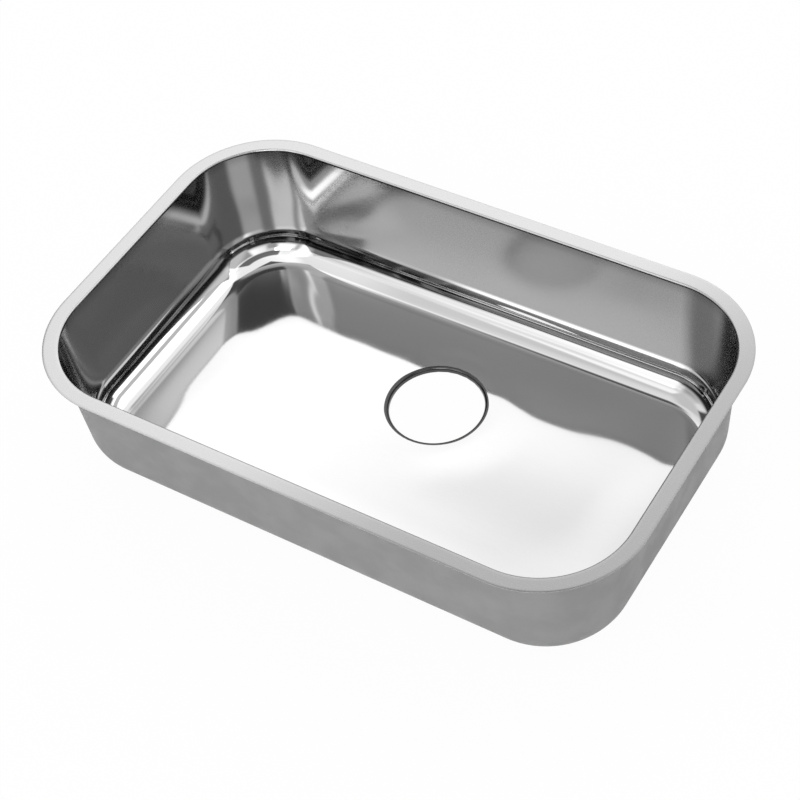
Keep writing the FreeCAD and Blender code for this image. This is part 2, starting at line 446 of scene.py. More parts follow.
@dataclass(frozen=True)
class MirrorSteel:
    """The polished inside. Painted shade makes the drawn walls' tone darker than floor and fillet.

    A painted shade darkens the tone and a painted highlight brightens it. A pair says, in metres,
    where along the height (Z), the width (Y) or the length (X) one tone passes into the next.
    """

    floor_tone: float = 0.60
    # Painted shade: the walls' tone is far darker than the floor's, for the darker reflections that
    # they show.
    wall_painted_shade_tone: float = 0.28
    # Painted shade: darker near the mouth and towards the right end.
    mouth_painted_shade: float = 0.7
    right_painted_shade: float = 0.86
    # Painted shade and highlights on the fillet: darker at the back, brighter beside the left
    # corner, on the crease and along the left wall.
    back_painted_shade: float = 0.55
    corner_painted_highlight: float = 1.3
    crease_painted_highlight: float = 1.35
    left_painted_highlight: float = 1.65
    floor_roughness: float = 0.055
    left_roughness: float = 0.12
    right_roughness: float = 0.21
    wall_height: Span = (-0.099, -0.094)
    mouth_height: Span = (-0.014, 0.0)
    fillet_height: Span = (-0.1205, -0.1175)
    crease_height: Span = (-0.1155, -0.1135)
    back_width: Span = (0.12, 0.15)
    corner_length: Span = (-0.16, -0.07)
    crease_length: Span = (-0.07, 0.0)
    right_length: Span = (-0.1, 0.25)
    haze_length: Span = (-0.12, 0.0)
    left_outside: Span = (-0.2695, -0.267)
    left_inside: Span = (-0.262, -0.257)
    ripple_length: float = 0.085
    ripple_height: float = 0.00016
    line_scale: Triple = (60.0, 1400.0, 1400.0)
    line_shade: float = 0.05
    line_height: float = 0.0000001

    def fillet_painted_light(self, graph: Graph, along: Socket, across: Socket, up: Socket) -> Socket:
        """How painted highlights and shade change the fillet's tone against the floor's.

        At the back the fillet gets a painted highlight at its foot beside the left corner,
        painted shade above that and a painted highlight again above its crease, away from the
        corner. A band of it along the left wall gets a painted highlight too.

        Args:
            graph: the material's graph.
            along: the place along X.
            across: the place along Y.
            up: the place along Z.

        Returns:
            A factor on the tone: the painted highlights and shade.
        """
        # Painted highlights and painted shade, by place along the fillet.
        beside_corner = graph.ramp(along, self.corner_length, self.corner_painted_highlight, 1.0)
        foot = graph.ramp(across, self.back_width, 1.0, beside_corner)
        painted_shaded = graph.ramp(across, self.back_width, 1.0, self.back_painted_shade)
        past_corner = graph.ramp(along, self.crease_length, self.back_painted_shade, self.crease_painted_highlight)
        crease = graph.ramp(across, self.back_width, 1.0, past_corner)
        back = graph.ramp(up, self.fillet_height, foot, painted_shaded)
        back = graph.ramp(up, self.crease_height, back, crease)
        left = graph.ramp(along, self.left_inside, self.left_painted_highlight, 1.0)
        left = graph.ramp(along, self.left_outside, 1.0, left)
        return graph.math("MULTIPLY", back, left)

    def make(self) -> bpy.types.Material:
        """Builds the material: ripple and faint lines over tones for wall, fillet and floor, with
        painted shade and highlights.

        Returns:
            The material.
        """
        finish = Finish("steel_mirror")
        place = finish.place()
        along, across, up = finish.axes(place)
        lines = finish.effect(line_effect(), {"Place": finish.stretched(place, self.line_scale),
                                              "Amount": self.line_shade})
        ripple = finish.effect(ripple_effect(), {"Place": place, "Length": self.ripple_length})

        on_wall = finish.ramp(up, self.wall_height)
        # The fillet's tone, with its painted highlights and shade.
        fillet = finish.scaled(grey(self.floor_tone)[:3],
                               self.fillet_painted_light(finish, along, across, up))
        # The walls' darker tone is painted shade.
        tone = finish.blend(on_wall, fillet, grey(self.wall_painted_shade_tone))
        # Painted shade: darker near the mouth and towards the right end.
        shade = finish.math("MULTIPLY", finish.ramp(up, self.mouth_height, 1.0, self.mouth_painted_shade),
                            finish.ramp(along, self.right_length, 1.0, self.right_painted_shade))
        colour = finish.scaled(tone, finish.math("MULTIPLY", shade, lines["Shade"]))

        wall = finish.ramp(along, self.haze_length, self.left_roughness, self.right_roughness)
        haze = finish.ramp(on_wall, (0.0, 1.0), self.floor_roughness, wall)
        roughness = finish.math("MULTIPLY", haze, lines["Shade"])
        waves = finish.relief(ripple["Height"], self.ripple_height)
        normal = finish.relief(lines["Height"], self.line_height, under=waves)
        return finish.dress(colour, roughness, normal, metallic=1.0)


@dataclass(frozen=True)
class LinedSteel:
    """Steel with the fine lines of one tool, in waves for each metre along each direction."""

    name: str
    tone: float
    roughness: float
    line_scale: Triple
    line_shade: float
    line_height: float

    def shade(self, finish: Finish, place: Socket) -> object:
        """A factor on the tone, which is the same all over unless a finish says otherwise."""
        return 1.0

    def make(self) -> bpy.types.Material:
        """Builds the material: a metal whose tone, roughness and relief follow the lines.

        Returns:
            The material.
        """
        finish = Finish(self.name)
        place = finish.place()
        lines = finish.effect(line_effect(), {"Place": finish.stretched(place, self.line_scale),
                                              "Amount": self.line_shade})
        factor = finish.math("MULTIPLY", lines["Shade"], self.shade(finish, place))
        return finish.dress(finish.scaled(grey(self.tone)[:3], factor),
                            finish.math("MULTIPLY", lines["Shade"], self.roughness),
                            finish.relief(lines["Height"], self.line_height), metallic=1.0)


@dataclass(frozen=True)
class SatinSteel(LinedSteel):
    """The flange: a satin face with fine grinding lines along the sink's length.

    It carries painted shade: darker towards the front and the right, along X less a share of Y.
    """

    name: str = "steel_satin"
    tone: float = 0.50
    roughness: float = 0.27
    line_scale: Triple = (90.0, 1800.0, 1800.0)
    line_shade: float = 0.12
    line_height: float = 0.000004
    # Painted shade: the flange's tone is darker towards the front and the right end.
    front_painted_shade: float = 0.68
    front_share: float = 0.6
    front_reach: Span = (0.02, 0.26)

    def shade(self, finish: Finish, place: Socket) -> Socket:
        """The painted shade on the front and right end.

        Args:
            finish: the material's graph.
            place: the point on the piece.

        Returns:
            A factor on the tone.
        """
        along, across, _ = finish.axes(place)
        forward = finish.math("MULTIPLY_ADD", across, -self.front_share, along)
        return finish.ramp(forward, self.front_reach, 1.0, self.front_painted_shade)


@dataclass(frozen=True)
class DrawnSteel(LinedSteel):
    """Bare steel as the press leaves it, dull and with draw lines that run down the walls."""

    name: str = "steel_drawn"
    tone: float = 0.46
    roughness: float = 0.42
    line_scale: Triple = (1100.0, 1100.0, 70.0)
    line_shade: float = 0.25
    line_height: float = 0.000008


@dataclass(frozen=True)
class LipSteel(LinedSteel):
    """The drain's rolled lip, painted near-black as shade and dark reflection round the hole."""

    name: str = "steel_lip"
    # Painted shade: the near-black tone stands in for the shade and dark reflections round the
    # hole.
    tone: float = 0.07
    roughness: float = 0.16
    line_scale: Triple = (220.0, 220.0, 2400.0)
    line_shade: float = 0.3
    line_height: float = 0.000006


@dataclass(frozen=True)
class GrainedSkin:
    """A matt skin with a fine grain, whose tone and roughness change in broad clouds.

    Each pair of tones and of roughnesses is for outside and inside the clouds.
    """

    name: str
    tones: Span
    roughnesses: Span
    clouds: Span
    grain: float
    relief: float

    def make(self) -> bpy.types.Material:
        """Builds the material.

        Returns:
            The material.
        """
        finish = Finish(self.name)
        speckle = finish.effect(speckle_effect(), {"Place": finish.place(), "Grain": self.grain})
        mask = finish.ramp(speckle["Mask"], self.clouds)
        return finish.dress(finish.blend(mask, *map(grey, self.tones)),
                            finish.ramp(mask, (0.0, 1.0), *self.roughnesses),
                            finish.relief(speckle["Height"], self.relief))


@dataclass(frozen=True)
class SprayedCoat(GrainedSkin):
    """The matt sound-deadening coat, with the fine peel that spraying leaves."""

    name: str = "coat_sprayed"
    tones: Span = (0.293, 0.307)
    roughnesses: Span = (0.68, 0.56)
    clouds: Span = (0.3, 0.7)
    grain: float = 0.0011
    relief: float = 0.00009


@dataclass(frozen=True)
class PadRubber(GrainedSkin):
    """The black sheet of the sound pads: pressed grain, and dust in it."""

    name: str = "rubber_pad"
    tones: Span = (0.032, 0.075)
    roughnesses: Span = (0.74, 0.88)
    clouds: Span = (0.48, 0.78)
    grain: float = 0.0016
    relief: float = 0.00012


# ---------------------------------------------------------------- the basin's form


@dataclass(frozen=True)
class Loop:
    """A rounded rectangle, kept as a skeleton point and an outward normal at each step.

    A line at any inset is the skeleton point plus (radius minus inset) times the normal,
    so all insets share their corner centres, as the pressing does.
    """

    half_length: float = 295.0
    half_width: float = 185.0
    radius: float = 96.0
    arc_steps: int = 44
    long_steps: int = 30
    short_steps: int = 20

    def skeleton(self) -> tuple[np.ndarray, np.ndarray]:
        """Corner centres stand still while the normal turns; along a side they slide.

        Returns:
            (columns, 2) skeleton points and (columns, 2) unit normals.
        """
        x, y = self.half_length - self.radius, self.half_width - self.radius
        corners = np.array([[x, y], [-x, y], [-x, -y], [x, -y]])
        steps = (self.long_steps, self.short_steps, self.long_steps, self.short_steps)
        points, normals = [], []
        for index, side in enumerate(steps):
            angle = np.radians(90.0 * index) + np.linspace(0.0, np.pi / 2, self.arc_steps + 1)
            points.append(np.repeat(corners[index][None], len(angle), axis=0))
            normals.append(np.stack([np.cos(angle), np.sin(angle)], axis=1))
            along = ease(side)[1:-1, None]
            points.append(corners[index] + along * (corners[(index + 1) % 4] - corners[index]))
            normals.append(np.repeat(normals[-1][-1][None], len(along), axis=0))
        return np.concatenate(points), np.concatenate(normals)

    def carry(self, profile: np.ndarray) -> np.ndarray:
        """Each point of the profile goes round the loop at its own inset.

        Args:
            profile: (rows, 2) insets and heights.

        Returns:
            (rows, columns, 3) points.
        """
        points, normals = self.skeleton()
        reach = (self.radius - profile[:, 0])[:, None, None]
        flat = points[None] + reach * normals[None]
        height = np.broadcast_to(profile[:, 1][:, None, None], (*flat.shape[:2], 1))
        return np.concatenate([flat, height], axis=2)


@dataclass(frozen=True)
class Drain:
    """The drain hole: where it is and how its lip is rolled down."""

    shift_right: float = 8.0
    shift_back: float = 44.5
    radius: float = 45.0
    roll: float = 3.0
    lip_drop: float = 5.0

    @property
    def centre(self) -> np.ndarray:
        """The hole's axis in plan."""
        return np.array([self.shift_right, self.shift_back])

    @property
    def roll_start(self) -> float:
        """Radius at which the floor starts to roll down."""
        return self.radius + self.roll


@dataclass(frozen=True)
class Crown:
    """The slight rise of the floor's wide free panel, right of the drain.

    It rises over the ramp's length and fades towards a point past the right end. Across
    the width it is highest at the middle and ends at the reach on both sides.
    """

    drain: Drain = field(default_factory=Drain)
    height: float = 2.0
    ramp: float = 52.0
    right: float = 328.0
    middle: float = 13.6
    reach: float = 79.0

    def rise(self, plan: np.ndarray) -> np.ndarray:
        """An eased rise away from the drain times a straight fade to the right.

        Both are multiplied by a squared cosine across the width.

        Args:
            plan: (..., 2) points.

        Returns:
            Heights of the same shape without the last axis.
        """
        away = np.linalg.norm(plan - self.drain.centre, axis=-1) - self.drain.roll_start
        along = np.clip(away / self.ramp, 0.0, 1.0)
        sideways = plan[..., 0] - self.drain.shift_right
        beside = np.clip(sideways / self.ramp, 0.0, 1.0)
        fade = np.clip((self.right - plan[..., 0]) / (self.right - self.drain.radius), 0.0, 1.0)
        across = np.clip((plan[..., 1] - self.middle) / self.reach, -1.0, 1.0)
        return (self.height * smooth(along) * smooth(beside) * fade
                * np.cos(across * np.pi / 2) ** 2)


@dataclass(frozen=True)
class Basin:
    """The form that all skins of the sink share, at any offset from the wetted side.

    The floor falls from its edge to a level part. The three lengths after the fall are its
    run from the left end, the right end and the long walls, and the level part has its own
    corner radius. Late is the power that holds the fall back in the back left corner.
    """

    loop: Loop = field(default_factory=Loop)
    drain: Drain = field(default_factory=Drain)
    crown: Crown = field(default_factory=Crown)
    flange_flat: float = 12.5
    mouth_roll: float = 2.5
    sheet: float = 0.8
    coat: float = 1.2
    draft: float = 3.9
    depth: float = 126.5
    fillet: float = 31.0
    fall: float = 2.5
    fall_left: float = 54.0
    fall_right: float = 57.0
    fall_sides: float = 53.6
    level_corner: float = 77.0
    late: float = 1.4
    corner_reach: float = 179.0
    seat_run: float = 24.0

    @property
    def slope(self) -> float:
        """The wall's draft in radians."""
        return math.radians(self.draft)

    @property
    def floor_inset(self) -> float:
        """Inset of the floor's edge, where the fillet runs out."""
        mouth = self.flange_flat + self.mouth_roll
        rise = self.depth - self.fillet
        return mouth + (self.fillet + rise * math.sin(self.slope)) / math.cos(self.slope)

    def roll_arc(self, offset: float, count: int) -> np.ndarray:
        """The mouth's roll, from the level flange to the drafted wall.

        The centre keeps its place at every offset, and the radius loses the offset.

        Args:
            offset: distance from the wetted side.
            count: number of intervals.

        Returns:
            (count + 1, 2) insets and heights.
        """
        turn = math.pi / 2 - self.slope
        inset = self.flange_flat + self.mouth_roll * (1.0 - math.tan(turn / 2))
        return arc((inset, -self.mouth_roll), self.mouth_roll - offset,
                   math.pi / 2, math.pi / 2 - turn, count)

    def fillet_arc(self, offset: float, count: int) -> np.ndarray:
        """The floor's fillet, from the drafted wall to the level floor.

        Args:
            offset: distance from the wetted side, which the radius gains.
            count: number of intervals.

        Returns:
            (count + 1, 2) insets and heights.
        """
        centre = (self.floor_inset, self.fillet - self.depth)
        return arc(centre, self.fillet + offset, math.pi + self.slope, 1.5 * math.pi, count)

    def spokes(self) -> tuple[np.ndarray, np.ndarray]:
        """Directions from the drain's axis to each column's point on the floor's edge.

        Returns:
            (columns, 2) unit directions and the spokes' lengths.
        """
        edge = self.loop.carry(np.array([[self.floor_inset, 0.0]]))[0, :, :2]
        spoke = edge - self.drain.centre
        length = np.linalg.norm(spoke, axis=1)
        return spoke / length[:, None], length

    def fall_share(self, plan: np.ndarray) -> tuple[np.ndarray, np.ndarray]:
        """How far a plan point is on its way from the floor's edge to the level part.

        Each contour is a rounded rectangle: share 0 is the floor's edge, share 1 the
        outline of the level part. The share is found by halving. The facing is the square
        of the contour normal's part along the length: 1 at the end walls, 0 at the long
        walls.

        Args:
            plan: (..., 2) points.

        Returns:
            Shares from 0 to 1 and facings, both of the same shape without the last axis.
        """
        low, high = np.zeros(plan.shape[:-1]), np.ones(plan.shape[:-1])
        half = np.array([self.loop.half_length, self.loop.half_width]) - self.floor_inset
        shift = np.array([(self.fall_left - self.fall_right) / 2, 0.0])
        shrink = np.array([(self.fall_left + self.fall_right) / 2, self.fall_sides])
        corner = self.loop.radius - self.floor_inset
        for _ in range(HALVINGS):
            share = (low + high) / 2
            radius = corner + share * (self.level_corner - corner)
            past = np.maximum(np.abs(plan - share[..., None] * shift) - (
                half - share[..., None] * shrink - radius[..., None]), 0.0)
            inside = np.linalg.norm(past, axis=-1) < radius
            low, high = np.where(inside, share, low), np.where(inside, high, share)
        facing = past[..., 0] ** 2 / np.maximum((past ** 2).sum(axis=-1), 1e-9)
        return share, facing

    def depth_under(self, plan: np.ndarray) -> np.ndarray:
        """Depth of the floor below any plan points within its edge.

        The floor falls beside its fillet and is level further in. Along the long walls the
        fall is one minus the square of one minus the share, steepest at the fillet. At the
        end walls it is eased at both ends of its run. In the back left corner, where the
        pressing is least stretched, it lags behind. Round the drain all of it eases into
        the level seat.

        Args:
            plan: (..., 2) points.

        Returns:
            Depths of the same shape without the last axis.
        """
        share, facing = self.fall_share(plan)
        reach = np.array([-self.corner_reach, self.corner_reach / 2])
        back_left = np.clip(plan / reach, 0.0, 1.0).prod(axis=-1)
        turned = 4.0 * facing * (1.0 - facing) * back_left
        at_side = 1.0 - (1.0 - share) ** 2
        at_corner = smooth(share ** self.late)
        straight = at_side + facing * (smooth(share) - at_side)
        fall = straight + turned * (at_corner - straight)
        away = np.linalg.norm(plan - self.drain.centre, axis=-1) - self.drain.roll_start
        off_seat = smooth(np.clip(away / self.seat_run, 0.0, 1.0))
        return (self.depth + self.fall
                - off_seat * (self.fall * (1.0 - fall) + self.crown.rise(plan)))

    def floor(self, offset: float, count: int, stop: float) -> np.ndarray:
        """The floor as spokes that run from its rounded edge towards the drain's axis.

        Args:
            offset: distance from the wetted side.
            count: number of intervals on a spoke.
            stop: radius from the drain's axis at which the spokes end.

        Returns:
            (count, columns, 3) points, without those on the floor's edge.
        """
        unit, length = self.spokes()
        reach = length + ease(count)[1:, None] * (stop - length)
        flat = self.drain.centre + reach[..., None] * unit
        height = -(self.depth_under(flat) + offset)[..., None]
        return np.concatenate([flat, height], axis=2)

    def lip(self, offset: float, count: int) -> np.ndarray:
        """The drain's lip: rolled down from the floor, then straight to its cut edge.

        Args:
            offset: distance from the wetted side.
            count: number of intervals on the roll.

        Returns:
            (count + 1, columns, 3) points, without those where the roll starts.
        """
        unit, _ = self.spokes()
        drain, seat = self.drain, self.depth + self.fall
        roll = arc((drain.roll_start, -(seat + drain.roll)), drain.roll - offset,
                   math.pi / 2, math.pi, count)[1:]
        end = np.array([[drain.radius + offset, -(seat + drain.lip_drop)]])
        section = np.concatenate([roll, end])
        flat = drain.centre + section[:, 0][:, None, None] * unit[None]
        height = np.broadcast_to(section[:, 1][:, None, None], (*flat.shape[:2], 1))
        return np.concatenate([flat, height], axis=2)


# ---------------------------------------------------------------- the pieces


@dataclass(frozen=True)
class Bowl:
    """The pressed sheet itself: flange, mouth roll, walls, floor and drain lip.

    The satin of the flange goes on over the first rows of the mouth's roll, and the last
    rows of the floor, beside the lip, take the lip's near-black tone as painted shade.
    """

    basin: Basin
    edge_break: float = 0.2
    break_steps: int = 3
    flat_steps: int = 6
    roll_steps: int = 12
    satin_roll: int = 6
    # Rows of floor beside the lip that carry the lip's painted shade.
    lip_shade_rows: int = 3
    wall_steps: int = 26
    fillet_steps: int = 26
    floor_steps: int = 40
    lip_steps: int = 10
    under_steps: int = 14

    def side(self, offset: float, fine: bool) -> list[np.ndarray]:
        """One side of the sheet from the flange's flat to the lip's cut edge.

        Args:
            offset: distance from the wetted side.
            fine: whether the side gets the full count of rows.

        Returns:
            Grids of the flange, its roll, the wall, the fillet, the floor and the lip.
        """
        basin, loop = self.basin, self.basin.loop
        roll = basin.roll_arc(offset, self.roll_steps if fine else self.roll_steps // 2)
        fillet = basin.fillet_arc(offset, self.fillet_steps if fine else self.under_steps)
        along = ease(self.wall_steps if fine else self.under_steps // 2)[1:-1, None]
        wall = roll[-1] + along * (fillet[0] - roll[-1])
        start = np.array([self.edge_break, -offset])
        across = np.linspace(0.0, 1.0, self.flat_steps + 1)[:-1, None]
        flat = start + across * (roll[0] - start)
        floor_count = self.floor_steps if fine else self.under_steps
        lip_count = self.lip_steps if fine else self.lip_steps // 2
        return [loop.carry(flat), loop.carry(roll), loop.carry(wall), loop.carry(fillet),
                basin.floor(offset, floor_count, basin.drain.roll_start),
                basin.lip(offset, lip_count)]

    def edge(self) -> np.ndarray:
        """The flange's outer edge, from below to above, broken by a small radius.

        Returns:
            Points of two quarter arcs, without their ends on the two flat faces.
        """
        size = self.edge_break
        lower = arc((size, size - self.basin.sheet), size, 1.5 * math.pi, math.pi, self.break_steps)
        upper = arc((size, -size), size, math.pi, math.pi / 2, self.break_steps)
        return self.basin.loop.carry(np.concatenate([lower[1:], upper[:-1]]))

    def build(self) -> bpy.types.Object:
        """The whole sheet as one closed surface, with a finish for each band of rows.

        Returns:
            The finished piece.
        """
        wet = self.side(0.0, fine=True)
        dry = self.side(self.basin.sheet, fine=False)
        edge = self.edge()
        grid = np.concatenate([edge, *wet, *[part[::-1] for part in reversed(dry)]])
        satin_rows = len(edge) + len(wet[0]) + self.satin_roll
        wet_rows = len(edge) + sum(len(part) for part in wet)

        mesh = mesh_of_grid("bowl_sheet", grid)
        row = np.arange(len(grid))
        # The floor's last rows take the lip's painted shade.
        lip_start = wet_rows - len(wet[-1]) - self.lip_shade_rows
        band = np.select([row < satin_rows, row < lip_start, row < wet_rows],
                         [Skin.SATIN.value, Skin.MIRROR.value, Skin.LIP.value],
                         Skin.DRAWN.value)
        mesh.polygons.foreach_set("material_index",
                                  np.repeat(band, grid.shape[1]).astype(np.int32))
        finishes = {Skin.MIRROR: MirrorSteel(), Skin.SATIN: SatinSteel(),
                    Skin.DRAWN: DrawnSteel(), Skin.LIP: LipSteel()}
        return piece_of(mesh, "bowl_polished", "bowl",
                        [finishes[skin].make() for skin in Skin])


@dataclass(frozen=True)
class Undercoat:
    """The sprayed coat: a thin skin on the outside of walls and floor."""

    basin: Basin
    start: float = 8.0
    ring_radius: float = 60.0
    edge_drop: float = 0.7
    edge_steps: int = 5
    wall_steps: int = 14
    fillet_steps: int = 18
    floor_steps: int = 22

    def side(self, offset: float, top: float) -> list[np.ndarray]:
        """One side of the coat, from its masked top edge to the bare ring.

        Args:
            offset: distance from the wetted side.
            top: height at which this side starts.

        Returns:
            Grids of the wall, the fillet and the floor.
        """
        basin, loop = self.basin, self.basin.loop
        fillet = basin.fillet_arc(offset, self.fillet_steps)
        rise = top - fillet[0][1]
        upper = fillet[0] + rise * np.array([-math.tan(basin.slope), 1.0])
        wall = upper + ease(self.wall_steps)[:-1, None] * (fillet[0] - upper)
        return [loop.carry(wall), loop.carry(fillet),
                basin.floor(offset, self.floor_steps, self.ring_radius)]

    def build(self) -> bpy.types.Object:
        """The coat's outside and inside, joined at the top by a quarter of an ellipse.

        Returns:
            The finished piece.
        """
        sheet, coat = self.basin.sheet, self.basin.coat
        inner = self.side(sheet, -self.start)
        outer = self.side(sheet + coat, -self.start - self.edge_drop)
        across = outer[0][0] - inner[0][0]
        turn = np.linspace(0.0, math.pi / 2, self.edge_steps + 1)[1:-1, None, None]
        flat, down = across * np.array([1.0, 1.0, 0.0]), across * np.array([0.0, 0.0, 1.0])
        edge = inner[0][0] + np.sin(turn) * flat + (1.0 - np.cos(turn)) * down
        grid = np.concatenate([*[part[::-1] for part in reversed(outer)], edge[::-1], *inner])
        mesh = mesh_of_grid("undercoat_skin", grid)
        return piece_of(mesh, "undercoat_sprayed", "undercoat",
                        [SprayedCoat().make()])


@dataclass(frozen=True)
class SoundPad:
    """One rubber sheet glued under the floor, cut to a rounded rectangle."""

    basin: Basin
    node: str
    left: float
    right: float
    front: float
    back: float
    thickness: float = 3.0
    corner: float = 16.0
    edge_round: float = 0.9
    round_steps: int = 5
    inside_steps: int = 8

    def build(self, rubber: bpy.types.Material) -> bpy.types.Object:
        """Closed rows that grow from the pad's middle, turn round its edge and come back.

        Inside the corner centres a row is the skeleton scaled towards the middle, and
        outside them it is the outline at an inset. Each height follows the floor above.

        Args:
            rubber: the pad's finish.

        Returns:
            The finished piece.
        """
        loop = Loop((self.right - self.left) / 2, (self.back - self.front) / 2, self.corner,
                    arc_steps=10, long_steps=16, short_steps=16)
        points, normals = loop.skeleton()
        top = self.basin.sheet + self.basin.coat
        bottom = top + self.thickness
        round_over = arc((self.edge_round, bottom - self.edge_round), self.edge_round,
                         math.pi / 2, math.pi, self.round_steps)
        rim = np.concatenate([[[self.corner, bottom], [self.corner / 2, bottom]], round_over,
                              [[0.0, top], [self.corner, top]]])
        scale = np.linspace(0.0, 1.0, self.inside_steps + 1)[:-1]
        spread = np.concatenate([scale, np.ones(len(rim)), scale[::-1]])
        inset = np.concatenate([np.full(len(scale), self.corner), rim[:, 0],
                                np.full(len(scale), self.corner)])
        under = np.concatenate([np.full(len(scale), bottom), rim[:, 1],
                                np.full(len(scale), top)])
        middle = np.array([(self.left + self.right) / 2, (self.front + self.back) / 2])
        plan = middle + (spread[:, None, None] * points
                         + (self.corner - inset)[:, None, None] * normals)
        height = -(self.basin.depth_under(plan) + under[:, None])
        mesh = mesh_of_grid(f"{self.node}_sheet", np.concatenate([plan, height[..., None]], 2))
        close_poles(mesh)
        return piece_of(mesh, f"{self.node}_rubber", self.node, [rubber])


def close_poles(mesh: bpy.types.Mesh) -> None:
    """Merges the points that lie on each other and drops the faces left without area.

    Args:
        mesh: the mesh, whose normals are then turned outwards.
    """
    work = bmesh.new()
    work.from_mesh(mesh)
    bmesh.ops.remove_doubles(work, verts=work.verts, dist=1e-6)
    bmesh.ops.recalc_face_normals(work, faces=work.faces)
    work.to_mesh(mesh)
    work.free()
    mesh.set_sharp_from_angle(angle=SHARP_ANGLE)


@dataclass(frozen=True)
class SoundPads:
    """Three pads: one each side of the drain and one in front of it."""

    basin: Basin
    margin: float = 12.0
    drain_gap: float = 24.0
    spacing: float = 10.0

    def build(self) -> list[bpy.types.Object]:
        """Lays the pads out from the floor's edge and the drain.

        Returns:
            The three pieces.
        """
        loop, drain = self.basin.loop, self.basin.drain
        reach_x = loop.half_length - self.basin.floor_inset - self.margin
        reach_y = loop.half_width - self.basin.floor_inset - self.margin
        clear = drain.radius + self.drain_gap
        left, right = drain.shift_right - clear, drain.shift_right + clear
        front = drain.shift_back - clear
        rubber = PadRubber().make()
        pads = [
            SoundPad(self.basin, "floor_pad_left", -reach_x, left, -reach_y, reach_y),
            SoundPad(self.basin, "floor_pad_right", right, reach_x, -reach_y, reach_y),
            SoundPad(self.basin, "floor_pad_front", left + self.spacing, right - self.spacing,
                     -reach_y, front),
        ]
        return [pad.build(rubber) for pad in pads]


# ---------------------------------------------------------------- studio and camera


@dataclass(frozen=True)
class Patch:
    """A soft-edged part of the overhead light that is brighter or darker than the rest.

    Angles are in degrees. The azimuth runs clockwise, seen from above, from the back.
    """

    azimuth: float
    elevation: float
    width: float
    height: float
    level: float
    soft: float

    def over(self, graph: Graph, azimuth: object, elevation: object, level: object) -> Socket:
        """Lays the patch over a level.

        Its share is one within its width and height, and eases to zero over the soft edge.

        Args:
            graph: the world's graph.
            azimuth: the direction's azimuth in degrees.
            elevation: the direction's elevation in degrees.
            level: the level without this patch.

        Returns:
            The level with it.
        """
        turned = graph.math("WRAP", graph.math("SUBTRACT", azimuth, self.azimuth), 180.0, -180.0)
        raised = graph.math("SUBTRACT", elevation, self.elevation)
        shares = [graph.ramp(graph.math("ABSOLUTE", off),
                             (size / 2 + self.soft / 2, size / 2 - self.soft / 2))
                  for off, size in ((turned, self.width), (raised, self.height))]
        share = graph.math("MULTIPLY", *shares)
        change = graph.math("SUBTRACT", self.level, level)
        return graph.math("MULTIPLY_ADD", change, share, level)


